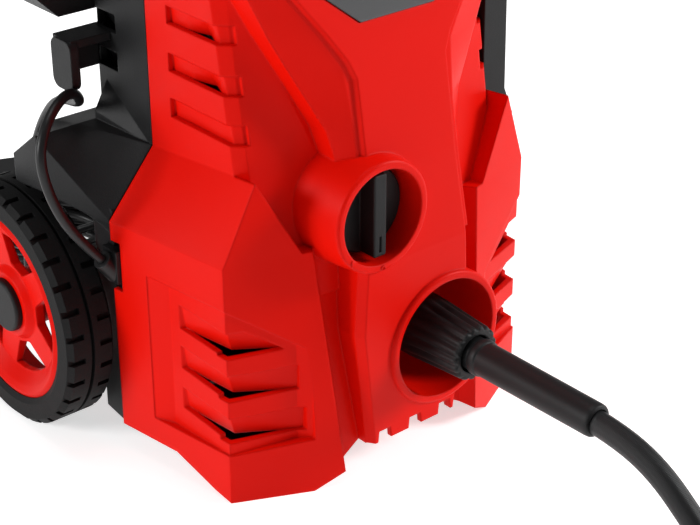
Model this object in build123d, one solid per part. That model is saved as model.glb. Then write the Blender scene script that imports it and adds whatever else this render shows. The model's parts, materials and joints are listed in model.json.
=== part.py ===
from build123d import *
from math import cos, pi, radians, sin, tan
import os

# A compact electric pressure washer: a red front shell and a black rear shell split at a vertical
# seam, two wheels behind, a telescopic handle, a motor that stands over an axial piston pump, a
# high-pressure hose at the front and a mains lead at the left. Millimetres, +Z up, front is -Y.
# Everything is drawn about the seam plane (y = 0) and moved back by SEAM_Y when it is written, so
# that the origin is the middle of the washer's footprint.

# ---- driving dimensions: housing ----
FRONT_DEPTH = 103.5      # seam to the front of the collars
PANEL_Y = -101.5         # face of the raised centre panel below its lean
PANEL_LEAN = 0.174       # how far the panel leans back for each millimetre of height
LEAN_START_Z = 130.0     # height where the panel starts to lean
UPPER_HALF = 79.0        # half width of the upper housing
LOWER_HALF = 106.0       # half width of the lower housing at the seam
CORNER_X = 95.4          # lower front corner
CORNER_Y = -75.3
SHOULDER_LOW_Z = 127.0   # lower edge of the sloping shoulder
SHOULDER_TOP_Z = 158.5   # upper edge of the sloping shoulder at the seam
FIN_TIP_Z = 166.5        # tip of the fin at the front end of that edge
HOUSING_TOP_Z = 330.0    # top edge of the two shells
REAR_DEPTH = 50.0        # seam to the flat back
SIDE_BACK_Y = 42.0       # seam to the end of the rear shell's flat side
BACK_CHAMFER = 9.0       # width of the corner between the flat side and the back
AXLE_BOX_DEPTH = 86.0    # seam to the back of the axle box
WALL = 2.8               # moulded wall
SEAM_GAP = 0.3           # half the line between the two shells

# ---- driving dimensions: front fittings ----
OUTLET_X = 18.5          # middle of the hose recess
OUTLET_Z = 61.6
OUTLET_R = 31.5
KNOB_X = -24.0           # middle of the switch recess
KNOB_Z = 141.0
KNOB_RECESS_R = 23.7
KNOB_CLEAR = 2.1         # gap round the knob in its recess
COLLAR_WALL = 4.0

# ---- driving dimensions: running gear ----
WHEEL_R = 64.0
WHEEL_WIDTH = 26.6
TRACK_HALF = 133.6       # middle to the outside of a wheel
AXLE_BACK = 63.5         # seam to the axle
AXLE_R = 5.0
AXLE_CLEAR = 0.06        # running clearance of the wheels on the axle
RIM_R = 50.0             # seat of the tyre on the rim

# ---- driving dimensions: handle ----
TUBE_R = 8.0
TUBE_X = 46.0
TUBE_Y = 35.0
HANDLE_LIFT = 150.0      # travel of the telescopic handle
TUBE_ENGAGED = 30.0      # length of tube left in its sleeve at full lift
GRIP_RISE = 116.0        # housing's top edge to the grip at rest
TUBE_CLEAR = 0.3

# ---- driving dimensions: drive ----
STATOR_R = 45.0
STATOR_LOW_Z = 186.0
STATOR_HEIGHT = 46.0
SHAFT_R = 5.0
GEAR_MODULE = 1.25
PINION_TEETH = 14
GEAR_TEETH = 42
GEAR_Z = 138.0           # middle of the gear mesh
GEAR_WIDTH = 12.0
PISTON_RING_R = 19.0     # pistons sit on this circle
PISTON_R = 6.0

# ---- driving dimensions: hose and mains lead ----
HOSE_D = 12.0
NUT_R = 16.8
LEAD_D = 5.0
HOSE_COIL_D = 144.0      # across the middle of the hose's turns
LEAD_COIL_D = 88.0

# ---- front shell's outline ----
PANEL_HALF = [(0, 24), (80, 33), (115, 31), (160, 27), (205, 27), (214, 31), (228, 41), (257, 64), (330, 56)]
EDGE_HALF = [(100, 37.5), (166, 37.5), (182, 41), (210, 56), (229, 66), (249, 74.5), (257, 79), (330, 79)]
VALLEY_HALF = [(100, 14), (165, 40), (245, 74), (257, 79), (330, 79)]
PANEL_STEP = 2.4         # inner level of the panel above the outer level
EDGE_BACK = 9.5          # outer level's rim behind the panel's face
VALLEY_Y = -75.0         # valley at a height of 165
VALLEY_LEAN = 0.1875
SIDE_EDGE_Y = -70.0      # upper front corner at the shoulder
SIDE_EDGE_LEAN = 0.167
SIDE_CHAMFER = 5.0       # width of the upper front corner's bevel
FIN_SLOPE = -0.267       # plan slope of the lower corner facet at its top
RIDGE_LOW = (43.2, -100.8)
RIDGE_TOP = (52.4, -86.8)
GROOVE_DEPTH = 7.0

# ---- vents and badge ----
VENT_LEFT_Y = -34.6
RECESS_LEFT_Y = -24.0
# bottom and top of each slot at its rear end, at the corner, and its far end on the front facet
LOWER_SLOTS = [((84.1, 96.4), (79.5, 92.5), 62.0), ((62.6, 74.6), (56.3, 69.5), 61.0),
               ((40.4, 51.5), (33.3, 46.1), 58.5)]
UPPER_SLOTS = [(178.5, 188.0), (201.0, 210.0), (224.0, 232.5)]
UPPER_SLOT_Y = -17.0
UPPER_GAPS = [3.0, 7.0, 7.0]   # how far in each blade's foot stands where its gap is widest
UPPER_SLOT_END_X = 71.5
BLADE = 2.0
BADGE = [(22, 229.5), (57, 257), (57, 290), (46, 306)]   # right half of the badge plate, x and z

REAR_SLOT_LOW = 188.0
REAR_SLOT_PITCH = 18.8
REAR_SLOT_HIGH = 9.4
REAR_SLOTS = 6

# ---- recesses, gland, inlet and hooks ----
OUTLET_BACK_Y = -62.0    # rear face of the hose recess
KNOB_FLOOR_Y = -86.0     # floor of the switch recess
CONNECTOR_R = 11.0
KNOB_SHAFT_R = 4.0
GLAND_Z = 104.0
INLET_X = 24.0
INLET_Z = 45.0
INLET_END_Y = 108.0     # free end of the inlet spigot
INLET_R = 8.0
HOOK_Z = 262.0
HOOK_PIN_R = 6.0
BUTTON_R = 9.0
BUTTON_Y = 18.0
SPRING_TOP = HOUSING_TOP_Z + 4
SPRING_LOW = HOUSING_TOP_Z - 12
CLIP_X = -103.0          # outer face of the lance clip
CLIP_LOW_Z = 182.0
CLIP_HIGH_Z = 207.0
POCKET_X = 94.0          # outer face of the lance pocket
TREAD_BLOCKS = 30
TREAD_DEPTH = 2.6
SWITCH_Y = KNOB_FLOOR_Y + WALL + 0.3

# ---- motor, gears and pump ----
BEARING_R = 11.0
BEARING_CLEAR = 0.05     # between the shaft and a bearing's bore
LOWER_BEARING_Z = 150.0
UPPER_BEARING_Z = 262.0
PINION_R = GEAR_MODULE * PINION_TEETH / 2
GEAR_R = GEAR_MODULE * GEAR_TEETH / 2
GEAR_DISTANCE = PINION_R + GEAR_R + 0.12
PUMP_ANGLE = -30.0       # direction from the motor's shaft to the pump's, from +X
PUMP_X = GEAR_DISTANCE * cos(radians(PUMP_ANGLE))
PUMP_Y = GEAR_DISTANCE * sin(radians(PUMP_ANGLE))
PUMP_SHAFT_R = 7.0
SWASH_Z = 118.0
SWASH_R = 25.0
SWASH_ANGLE = 10.0       # lean of the plate that drives the pistons
SWASH_FACE_Z = SWASH_Z - 2
PISTON_TOP_Z = SWASH_FACE_Z - SWASH_R * tan(radians(SWASH_ANGLE)) - 0.5
CASE_TOP_Z = 162.0
LEG_ANGLES = (60, 240, 330)
LEG_RING_R = 39.0
PUMP_LOW = 74.0
PUMP_HIGH = 122.0
HEAD_LOW = 38.0
HEAD_HIGH = PUMP_LOW - 0.05
HEAD_HALF = 30.0

# ---- hose's and lead's fittings, routes and coils ----
NUT_FRONT_Y = -124.0
NUT_REAR_Y = -72.5
SLEEVE_START_Y = -106.0
SLEEVE_END_Y = -203.0
HOSE_START_Y = -190.0
NUT_RIBS = 17
NUT_TAPER = 2.5          # how much smaller the nut's front is
SLEEVE_R = 8.6
STEM_R = 6.0
HOSE_ROUTE = [(18.5, -190, 61.6), (18.5, -214, 61.2), (18.5, -240, 54), (18.5, -264, 36), (18.5, -290, 16),
              (18.5, -322, 6.2), (19, -352, 6), (18.5, -380, 6)]
LEAD_ROUTE = [(-109.5, 0, 106), (-124, 0, 123), (-135, 1, 145), (-138.7, 3.3, 167.6), (-130.1, 8.5, 181.5),
              (-116, 17, 187.5), (-103.5, 26, 184), (-95.5, 34.5, 174.5), (-91, 47, 169), (-88, 62, 165.5),
              (-86, 78, 157), (-84.5, 93, 141), (-83.5, 105, 121), (-83, 114, 98), (-83, 120, 75),
              (-82.5, 124, 53), (-80.5, 128.5, 31), (-77, 136, 13.5), (-68, 144.5, 4), (-53.5, 150, 2.5),
              (-38, 152.8, 2.5), (-22, 153, 2.5)]
HOSE_COIL_AT = (OUTLET_X - HOSE_COIL_D / 2, -380.0)
HOSE_COIL_WIDE = 54.0    # the bundle of turns, across
HOSE_COIL_HIGH = 40.0
LEAD_COIL_AT = (-22.0, 197.0)
LEAD_COIL_WIDE = 30.0
LEAD_COIL_HIGH = 28.0

KNOB_R = KNOB_RECESS_R - KNOB_CLEAR
TUBE_LOW_Z = HOUSING_TOP_Z - HANDLE_LIFT - TUBE_ENGAGED
GRIP_Z = HOUSING_TOP_Z + GRIP_RISE
SEAM_Y = (FRONT_DEPTH - AXLE_BACK - WHEEL_R) / 2
SIDES = {"left": -1, "right": 1}


# ---------------------------------------------------------------- helpers
def save(name, shape):
    """Moves a finished piece into the row's frame and writes its STEP file."""
    export_step(Pos(0, SEAM_Y, 0) * shape, f"parts/{name}.step")


def face_of(points):
    return make_face(Polyline(*points, close=True))


def prism_xy(points, low, high):
    return extrude(face_of([(x, y, low) for x, y in points]), amount=high - low, dir=(0, 0, 1))


def prism_xz(points, near, far):
    return extrude(face_of([(x, near, z) for x, z in points]), amount=far - near, dir=(0, 1, 0))


def prism_yz(points, left, right):
    return extrude(face_of([(left, y, z) for y, z in points]), amount=right - left, dir=(1, 0, 0))


def slab(*sections):
    """A flat-sided solid between outlines that have the same number of corners."""
    return loft([face_of(points) for points in sections], ruled=True)


def block(x0, x1, y0, y1, z0, z1):
    return Pos((x0 + x1) / 2, (y0 + y1) / 2, (z0 + z1) / 2) * Box(x1 - x0, y1 - y0, z1 - z0)


def rod(start, direction, length, r, r_end=None):
    """A round bar, or a cone where r_end is given, from a point along a direction."""
    base = Plane(origin=start, z_dir=direction)
    if r_end is None:
        return extrude(base * Circle(r), amount=length)
    return loft([base * Circle(r), base.offset(length) * Circle(r_end)])


def ring(start, direction, length, r_out, r_in):
    return rod(start, direction, length, r_out) - rod(start, direction, length, r_in)


def both_sides(shape):
    return shape + mirror(shape, about=Plane.YZ)


def turned(shape, about, axis, angle):
    """A copy of a piece turned about a line."""
    return shape.rotate(Axis(about, axis), angle)


# ---------------------------------------------------------------- outlines of the front shell
def between(z, table):
    """Reads a height in a list of (height, value) rows, straight between them."""
    for (z0, v0), (z1, v1) in zip(table, table[1:]):
        if z <= z1:
            return v0 + (v1 - v0) * (z - z0) / (z1 - z0)
    return table[-1][1]


def panel_y(z):
    return PANEL_Y + max(0.0, z - LEAN_START_Z) * PANEL_LEAN


def side_edge_y(z):
    """Depth of the upper housing's front corner at a height."""
    return SIDE_EDGE_Y + (z - SHOULDER_TOP_Z) * SIDE_EDGE_LEAN


def front_half(t):
    """Right half of the front shell's outer shape, with every wall moved in by t."""
    side, corner = LOWER_HALF - t, (CORNER_X - t, CORNER_Y + t)
    low, top = -t, SHOULDER_LOW_Z

    def ridge(point, z):
        x, y = point
        return [(0, 0, z), (side, 0, z), (*corner, z), (x + 0.3 * t, y + 1.27 * t, z),
                (x - 5 + 0.5 * t, y + t + GROOVE_DEPTH, z), (0, y + t + GROOVE_DEPTH, z)]

    lower = slab(ridge(RIDGE_LOW, low), ridge(RIDGE_TOP, top - t))
    def on_fin(x, z):
        """A point of the upright plane that holds the fin's front outline."""
        return (x, corner[1] + FIN_SLOPE * (corner[0] - x), z)

    tip_x, kink_x = UPPER_HALF - 0.1 * t, RIDGE_TOP[0] + t
    fin = slab(
        [(*corner, top), on_fin(tip_x, FIN_TIP_Z - 2 * t), on_fin(kink_x, 117.5 - 0.3 * t), on_fin(kink_x, 100),
         (*corner, 100)],
        [(side, 0, top), (tip_x, 0, SHOULDER_TOP_Z - 2 * t), (44 + t, 0, 122), (44 + t, 0, 100), (side, 0, 100)])

    def deep(z):
        edge_y = side_edge_y(z)
        valley_y = VALLEY_Y + (z - 165) * VALLEY_LEAN
        valley_x = min(between(z, VALLEY_HALF), UPPER_HALF - SIDE_CHAMFER - 0.5)
        return [(0, 0, z), (UPPER_HALF - t, 0, z), (UPPER_HALF - t, edge_y + SIDE_CHAMFER + t / 2, z),
                (UPPER_HALF - SIDE_CHAMFER - t / 2, edge_y + t, z),
                (valley_x - t, valley_y + t, z), (0, valley_y + t, z)]

    def outer_level(z):
        rim_y = panel_y(z) + EDGE_BACK
        half = between(z, PANEL_HALF)
        return [(0, 0, z), (between(z, VALLEY_HALF) - t if z > 160 else 37.5 - t, 0, z),
                (between(z, EDGE_HALF) - t, rim_y + t, z),
                (half + 3.6 - t, panel_y(z) + PANEL_STEP + t, z), (0, panel_y(z) + PANEL_STEP + t, z)]

    def inner_level(z):
        half, y = between(z, PANEL_HALF), panel_y(z)
        return [(0, 0, z), (half + 3 - t, 0, z), (half + 3 - t, y + PANEL_STEP + 2 + t, z),
                (half - t, y + t, z), (0, y + t, z)]

    shape = lower + fin + slab(deep(100), deep(257 - t / 4))
    shape += slab(*[outer_level(z) for z in (117, 166, 182, 210, 229, 249, 257)])
    shape += slab(*[inner_level(z) for z in (low, 80, 115, 160, 205, 214, 228, 257)])
    return shape + front_top(t)


def front_top(t):
    """The head of the front shell, above the height where the panel reaches the sides."""
    rim = [(257, 79, -70), (306, 77, -61), (HOUSING_TOP_Z, 70, -46)]
    face = [(257, 64, panel_y(257)), (306, 60, panel_y(306)), (HOUSING_TOP_Z, 54, -56)]

    def level(k, drop):
        z, x, y = rim[k]
        _, fx, fy = face[k]
        z -= drop
        return [(0, 0, z), (x - t, 0, z), (x - t, y + t, z), (fx - t, fy + t, z), (0, fy + t, z)]

    return slab(level(0, 0), level(1, 0), level(2, t))


# ---------------------------------------------------------------- vents of the front shell


def facet_y(x, z=60.0):
    """Depth of the lower corner facet at a distance from the middle."""
    share = z / SHOULDER_LOW_Z
    rx = RIDGE_LOW[0] + (RIDGE_TOP[0] - RIDGE_LOW[0]) * share
    ry = RIDGE_LOW[1] + (RIDGE_TOP[1] - RIDGE_LOW[1]) * share
    return CORNER_Y + (ry - CORNER_Y) * (CORNER_X - x) / (CORNER_X - rx)


def side_x(y):
    """Half width of the lower housing at a depth."""
    return LOWER_HALF + (CORNER_X - LOWER_HALF) * y / CORNER_Y


def vent_recess(t=0.0):
    """The sunken field round the lower slots, deepest at its two ends, with its floor moved in by t."""
    left_y, right_x, grow = RECESS_LEFT_Y + t, 56.5 - t, t
    floor = [(side_x(RECESS_LEFT_Y) - 0.4 - t, left_y), (side_x(VENT_LEFT_Y) - 3.6 - t, VENT_LEFT_Y + t / 2),
             (CORNER_X - 0.9 - t, CORNER_Y + 0.7 + t), (62, facet_y(62) + 3.2 + t),
             (right_x, facet_y(56.5) + 0.2 + t)]
    field = prism_xy(floor + [(right_x, -140), (140, -140), (140, left_y)], 27 - grow, 107.5 + grow)
    outline = [(56 - t, 29 - grow), (56 - t, 76.5 + grow), (CORNER_X, 105.5 + grow), (140, 108.5 + grow),
               (140, 24 - grow), (CORNER_X, 27 - grow)]
    return field & prism_xz(outline, -140, 0)


def lower_slot(rear, corner, far_x):
    side = prism_yz([(VENT_LEFT_Y, rear[0]), (VENT_LEFT_Y, rear[1]), (CORNER_Y - 8, corner[1]),
                     (CORNER_Y - 8, corner[0])], 84, 112)
    front = prism_xz([(far_x, corner[0]), (far_x, corner[1]), (CORNER_X + 4, corner[1]),
                      (CORNER_X + 4, corner[0])], -112, -68)
    limit = prism_xz([(50, 20), (50, 67.0), (96, 100.0), (140, 112), (140, 20)], -140, 0)
    outline = [(60, -60), (140, -20), (140, 0), (140, -140), (96, -140), (84, -72)]
    side_part = side & prism_xy(outline, 20, 112)
    return (side_part + front) & limit


def lower_blade(rear, corner, far_x):
    """The sloping blade inside a slot: it leaves a gap that is widest at the corner."""
    def strip(point, inward, top, bottom, drawn_in):
        (x, y), (ix, iy) = point, inward
        def at(depth, z):
            return (x + ix * depth, y + iy * depth, z)
        return [at(2.9, top + 1.5), at(2.9 + BLADE, top + 1.5), at(drawn_in + BLADE, bottom),
                at(drawn_in, bottom)]
    start = strip((side_x(VENT_LEFT_Y + 1) - 1.5, VENT_LEFT_Y + 1), (-1, 0), rear[1], rear[0] - 1.0, 3.2)
    turn = strip((CORNER_X, CORNER_Y), (-0.8, 0.6), corner[1], corner[0] + 1.0, 9.5)
    end = strip((far_x - 1, facet_y(far_x - 1) + 1.5), (0, 1), corner[1], corner[0] - 1.0, 3.2)
    return slab(start, turn) + slab(turn, end)


def upper_slot(low, high):
    return block(UPPER_SLOT_END_X, UPPER_HALF + 6, -84, UPPER_SLOT_Y, low, high)


def upper_blade(low, high, widest):
    """The blade inside an upper slot: its foot draws in to leave a gap that ends in a point."""
    edge_y = side_edge_y(high) + SIDE_CHAMFER + WALL

    def strip(y, drawn_in, thick=BLADE):
        x = UPPER_HALF
        return [(x - 2.4, y, high + 1.5), (x - 2.4 - thick, y, high + 1.5),
                (x - drawn_in - thick, y, low - 0.8), (x - drawn_in, y, low - 0.8)]

    foot = UPPER_GAPS[0]
    places = [(UPPER_SLOT_Y + 1, foot), (0.6 * UPPER_SLOT_Y + 0.4 * edge_y, foot + 0.3),
              (0.25 * UPPER_SLOT_Y + 0.75 * edge_y, widest)]
    end = [strip(edge_y, foot, 3 * BLADE), strip(edge_y - SIDE_CHAMFER - 7, foot, 4 * BLADE)]
    return slab(*[strip(y, drawn_in) for y, drawn_in in places] + end) & both_sides(front_half(0.75 * WALL))


def bottom_cutters():
    """What is cut away under the housing: raised sides, a raised front and its toothed edge."""
    side = prism_yz([(10, -9), (10, 13.5), (-38.7, 13.5), (-65, 3), (CORNER_Y, 0), (CORNER_Y - 4, -9)],
                    -130, 130)
    front = prism_xz([(-58.3, -9), (-58.3, 0), (-28.4, 17.5), (28.4, 17.5), (58.3, 0), (58.3, -9)],
                     -130, -76)
    middle = prism_xz([(-90, -9), (-86, 12), (86, 12), (90, -9)], -76, 10)
    floor = block(-130, 130, -130, 10, -9, 0)
    cut = side + front + middle + floor
    for x in (-20, 0, 20):
        cut += prism_xz([(x - 5, 10), (x - 3.6, 23.5), (x + 3.6, 23.5), (x + 5, 10)], -130, -80)
    return cut


def make_front_shell():
    cavity = both_sides(front_half(WALL)) - block(-130, 130, -SEAM_GAP, 5, -10, 400)
    shell = both_sides(front_half(0)) - cavity - block(-130, 130, -SEAM_GAP, 5, -10, 400)
    shell -= block(-LOWER_HALF + WALL, LOWER_HALF - WALL, -4, 1, -5, SHOULDER_LOW_Z)
    shell += both_sides(front_half(0) & vent_recess(WALL) & block(0, 130, -140, -SEAM_GAP, 0, 130))
    recess = both_sides(vent_recess())
    slots, blades = None, None
    for rear, corner, far_x in LOWER_SLOTS:
        slot, blade = lower_slot(rear, corner, far_x), lower_blade(rear, corner, far_x)
        slots = slot if slots is None else slots + slot
        blades = blade if blades is None else blades + blade
    for k, (low, high) in enumerate(UPPER_SLOTS):
        slots += upper_slot(low, high)
        blades += upper_blade(low, high, UPPER_GAPS[k])
    shell -= recess
    shell -= both_sides(slots)
    shell += both_sides(blades)
    shell += both_sides(foot_block())
    # collars
    outlet = (OUTLET_X, -FRONT_DEPTH, OUTLET_Z)
    knob = (KNOB_X, -FRONT_DEPTH, KNOB_Z)
    outlet_body = rod(outlet, (0, 1, 0), FRONT_DEPTH + OUTLET_BACK_Y, OUTLET_R + COLLAR_WALL)
    knob_body = rod(knob, (0, 1, 0), 36, KNOB_RECESS_R + COLLAR_WALL, KNOB_RECESS_R + COLLAR_WALL + 4)
    knob_body = fillet(knob_body.edges().group_by(Axis.Y)[0], 1.6)
    outlet_body = fillet(outlet_body.edges().group_by(Axis.Y)[0], 1.6)
    shell += outlet_body
    shell += knob_body
    shell -= rod(outlet, (0, 1, 0), FRONT_DEPTH + OUTLET_BACK_Y - WALL, OUTLET_R)
    shell -= rod((OUTLET_X, -80, OUTLET_Z), (0, 1, 0), 30, CONNECTOR_R + 1.0)
    shell -= rod(knob, (0, 1, 0), FRONT_DEPTH + KNOB_FLOOR_Y, KNOB_RECESS_R)
    shell -= rod((KNOB_X, KNOB_FLOOR_Y + WALL, KNOB_Z), (0, 1, 0), 40, KNOB_RECESS_R)
    shell -= rod((KNOB_X, -95, KNOB_Z), (0, 1, 0), 40, KNOB_SHAFT_R + 0.3)
    shell -= bottom_cutters()
    shell -= gland_notch()
    shell -= badge_pocket()
    shell += knob_marks()
    return shell


def foot_block():
    """The solid toe under each lower corner, which carries the front of the washer."""
    outline = [(CORNER_X - 1, CORNER_Y + 0.5), (58.3, facet_y(58.3, 0) + 1), (60, -80), (CORNER_X - 6, -66)]
    return prism_xy(outline, 0, 9)


def gland_notch():
    return block(-130, -LOWER_HALF + 14, -6.5, 5, GLAND_Z - 13, GLAND_Z + 13)


def knob_marks():
    """Raised on and off marks under the switch: a bar and a ring."""
    r = KNOB_RECESS_R + COLLAR_WALL / 2
    marks = None
    for angle, shape in ((-90, "ring"), (-138, "bar")):
        x, z = KNOB_X + r * cos(radians(angle)), KNOB_Z + r * sin(radians(angle))
        start = (x, -FRONT_DEPTH - 0.45, z)
        mark = ring(start, (0, 1, 0), 0.9, 1.35, 0.85) if shape == "ring" else block(
            x - 0.35, x + 0.35, -FRONT_DEPTH - 0.45, -FRONT_DEPTH + 0.45, z - 1.35, z + 1.35)
        marks = mark if marks is None else marks + mark
    return marks


def badge_outline(grow):
    right = [(x + grow, z - grow if z < 240 else z + (grow if z > 300 else 0)) for x, z in BADGE]
    return right + [(-x, z) for x, z in reversed(right)]


def badge_slice(grow, out, deep):
    """A layer of the leaning panel inside the badge's outline."""
    low, high = 220, 312
    layer = prism_yz([(panel_y(low) - out, low), (panel_y(high) - out, high), (panel_y(high) + deep, high),
                      (panel_y(low) + deep, low)], -80, 80)
    return layer & prism_xz(badge_outline(grow), -130, -20)


def badge_pocket():
    return badge_slice(0.3, 3, 1.2)


# ---------------------------------------------------------------- rear shell


def rear_half(t):
    """Right half of the rear shell's outer shape, with every wall moved in by t."""
    upper = prism_xy([(0, 0), (UPPER_HALF - t, 0), (UPPER_HALF - t, SIDE_BACK_Y - t / 2),
                      (UPPER_HALF - BACK_CHAMFER - t / 2, REAR_DEPTH - t), (0, REAR_DEPTH - t)], 120, 257)
    levels = ((257, 79, REAR_DEPTH), (306, 77, REAR_DEPTH), (HOUSING_TOP_Z - t, 70, 48))
    head = slab(*[[(0, 0, z), (x - t, 0, z), (x - t, SIDE_BACK_Y - t / 2, z),
                   (x - BACK_CHAMFER - t / 2, y - t, z), (0, y - t, z)] for z, x, y in levels])
    lower = prism_xy([(0, 0), (104 - t, 0), (102 - t, 20 - t / 2), (84 - t, 36 - t), (62 - t, 50 - t),
                      (62 - t, AXLE_BOX_DEPTH - t), (0, AXLE_BOX_DEPTH - t)], 13.5 + t, 132 - t)
    slope = slab(*[[(0, 40, z - t), (62 - t, 40, z - t), (62 - t, back - t, z - t), (0, back - t, z - t)]
                   for z, back in ((131, AXLE_BOX_DEPTH), (165, REAR_DEPTH))])
    return upper + head + lower + slope


def fender():
    """Flared guard that carries the shoulder's line back over a wheel."""
    shape = slab(
        [(72, 0, 118), (104, 0, 118), (LOWER_HALF - 1, 0, 124), (LOWER_HALF, 0, SHOULDER_LOW_Z),
         (UPPER_HALF, 0, SHOULDER_TOP_Z), (72, 0, SHOULDER_TOP_Z)],
        [(72, 36, 126), (104, 36, 126), (120, 36, 134), (121, 36, 163), (97, 36, 163), (72, 36, 163)],
        [(60, 60, 124), (104, 60, 124), (120, 60, 131), (120, 60, 146), (97, 60, 157), (60, 60, 157)])
    wheel_room = rod((104.5, AXLE_BACK, WHEEL_R), (1, 0, 0), 60, WHEEL_R + 4)
    under = slab([(60, 4, 60), (101, 4, 60), (101, 4, 126), (78, 4, 152), (60, 4, 152)],
                 [(60, 34, 60), (101, 34, 60), (101, 34, 130), (92, 34, 157), (60, 34, 157)],
                 [(57, 57, 60), (101, 57, 60), (101, 57, 128), (90, 57, 151), (57, 57, 151)])
    buttress = slab([(78, 2, 150), (79.3, 2, 150), (79.2, 2, 158), (78, 2, 160)],
                    [(78, 36, 150), (87, 36, 150), (87, 36, 167), (78, 36, 183)])
    return shape - wheel_room + buttress, under


def make_rear_shell():
    guard, under = fender()
    seam = block(-130, 130, -5, SEAM_GAP, -10, 400)
    outer = both_sides(rear_half(0) + guard)
    shell = outer - both_sides(rear_half(WALL)) - seam
    shell -= both_sides(under & block(78, 130, 0, 60, 50, 200))
    shell -= block(-LOWER_HALF, LOWER_HALF, -1, 3, 16.5, 120) & block(-101, 101, -1, 3, 0, 200)
    for k in range(REAR_SLOTS):
        z = REAR_SLOT_LOW + REAR_SLOT_PITCH * k
        shell -= both_sides(block(UPPER_HALF - 8, UPPER_HALF + 5, 25.5, 43.5, z, z + REAR_SLOT_HIGH))
        top, foot = UPPER_HALF - 2.6, UPPER_HALF - 9.5
        blade = slab(*[[(top, y, z + REAR_SLOT_HIGH + 1), (top - BLADE, y, z + REAR_SLOT_HIGH + 1),
                        (foot - BLADE, y, z - 1), (foot, y, z - 1)] for y in (24.5, 42)])
        shell += both_sides(blade & rear_half(0))
    # axle tunnel, its outer sleeves, the inlet hole and the hook's pivot hole
    tunnel = rod((-104, AXLE_BACK, WHEEL_R), (1, 0, 0), 208, AXLE_R + 5)
    shell += tunnel
    shell -= rod((-110, AXLE_BACK, WHEEL_R), (1, 0, 0), 220, AXLE_R)
    shell -= rod((INLET_X, 70, INLET_Z), (0, 1, 0), 30, INLET_R + 2)
    shell -= rod((0, 40, HOOK_Z), (0, 1, 0), 20, HOOK_PIN_R + 0.06)
    shell -= block(-130, -LOWER_HALF + 14, -1, 6, GLAND_Z - 9, GLAND_Z + 9)
    shell -= rod((0, BUTTON_Y, HOUSING_TOP_Z - 10), (0, 0, 1), 20, BUTTON_R + 4)
    for x in (-TUBE_X, TUBE_X):
        shell -= rod((x, TUBE_Y, HOUSING_TOP_Z - 10), (0, 0, 1), 20, TUBE_R + TUBE_CLEAR)
    return shell + lower_hook()


# ---------------------------------------------------------------- covers and side holders
def make_top_cover():
    """Black cap that closes both shells and guides the handle's tubes."""
    outline = [(70, 0), (70, 42), (61, 48), (-61, 48), (-70, 42), (-70, -46), (-54, -56), (54, -56),
               (70, -46)]
    low = face_of([(x, y, HOUSING_TOP_Z) for x, y in outline])
    high = face_of([(x * 0.9, y * 0.88, HOUSING_TOP_Z + 16) for x, y in outline])
    cap = loft([low, high], ruled=True)
    cap -= loft([face_of([(x * 0.95, y * 0.93, HOUSING_TOP_Z - 1) for x, y in outline]),
                 face_of([(x * 0.85, y * 0.82, HOUSING_TOP_Z + 13) for x, y in outline])], ruled=True)
    for x in (-TUBE_X, TUBE_X):
        cap += rod((x, TUBE_Y, HOUSING_TOP_Z), (0, 0, 1), 22, TUBE_R + 3.2)
    for x in (-TUBE_X, TUBE_X):
        cap -= rod((x, TUBE_Y, HOUSING_TOP_Z - 5), (0, 0, 1), 60, TUBE_R + TUBE_CLEAR)
    return cap - rod((0, BUTTON_Y, HOUSING_TOP_Z), (0, 0, 1), 30, BUTTON_R + 0.3)


def make_guide_tubes():
    """Two sleeves inside the rear shell that the handle slides in."""
    sleeves = None
    for x in (-TUBE_X, TUBE_X):
        sleeve = ring((x, TUBE_Y, TUBE_LOW_Z - 14), (0, 0, 1), HOUSING_TOP_Z + 2 - TUBE_LOW_Z, TUBE_R + 2.3,
                      TUBE_R + TUBE_CLEAR)
        sleeve += rod((x, TUBE_Y, TUBE_LOW_Z - 16), (0, 0, 1), 3, TUBE_R + 2.3)
        sleeves = sleeve if sleeves is None else sleeves + sleeve
    return sleeves


def make_handle_tubes():
    height = GRIP_Z + 10 - TUBE_LOW_Z
    tubes = None
    for x in (-TUBE_X, TUBE_X):
        tube = ring((x, TUBE_Y, TUBE_LOW_Z), (0, 0, 1), height, TUBE_R, TUBE_R - 1.2)
        tubes = tube if tubes is None else tubes + tube
    return tubes


def make_handle_grip():
    bar = Pos(0, TUBE_Y, GRIP_Z + 12) * Box(2 * TUBE_X + 40, 30, 28)
    bar = fillet(bar.edges().filter_by(Axis.X), 9)
    bar = fillet(bar.edges().filter_by(Axis.Y), 5)
    for x in (-TUBE_X, TUBE_X):
        bar += rod((x, TUBE_Y, GRIP_Z - 22), (0, 0, 1), 24, TUBE_R + 4)
        bar -= rod((x, TUBE_Y, GRIP_Z - 30), (0, 0, 1), 40, TUBE_R)
    return bar


def make_latch_button():
    body = rod((0, BUTTON_Y, HOUSING_TOP_Z + 4), (0, 0, 1), 17, BUTTON_R)
    body = fillet(body.edges().group_by(Axis.Z)[-1], 1.5)
    return body + rod((0, BUTTON_Y, HOUSING_TOP_Z + 4), (0, 0, 1), 2.5, BUTTON_R + 3) + rod(
        (0, BUTTON_Y, HOUSING_TOP_Z - 2), (0, 0, 1), 6, 3)


def make_latch_spring():
    """The button's coil spring between the button's flange and its seat."""
    height = SPRING_TOP - SPRING_LOW - 1.2
    path = Helix(pitch=2.6, height=height, radius=5.2, center=(0, BUTTON_Y, SPRING_LOW + 0.6))
    return sweep(Plane(origin=path @ 0, z_dir=path % 0) * Circle(0.5), path=path)


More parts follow.
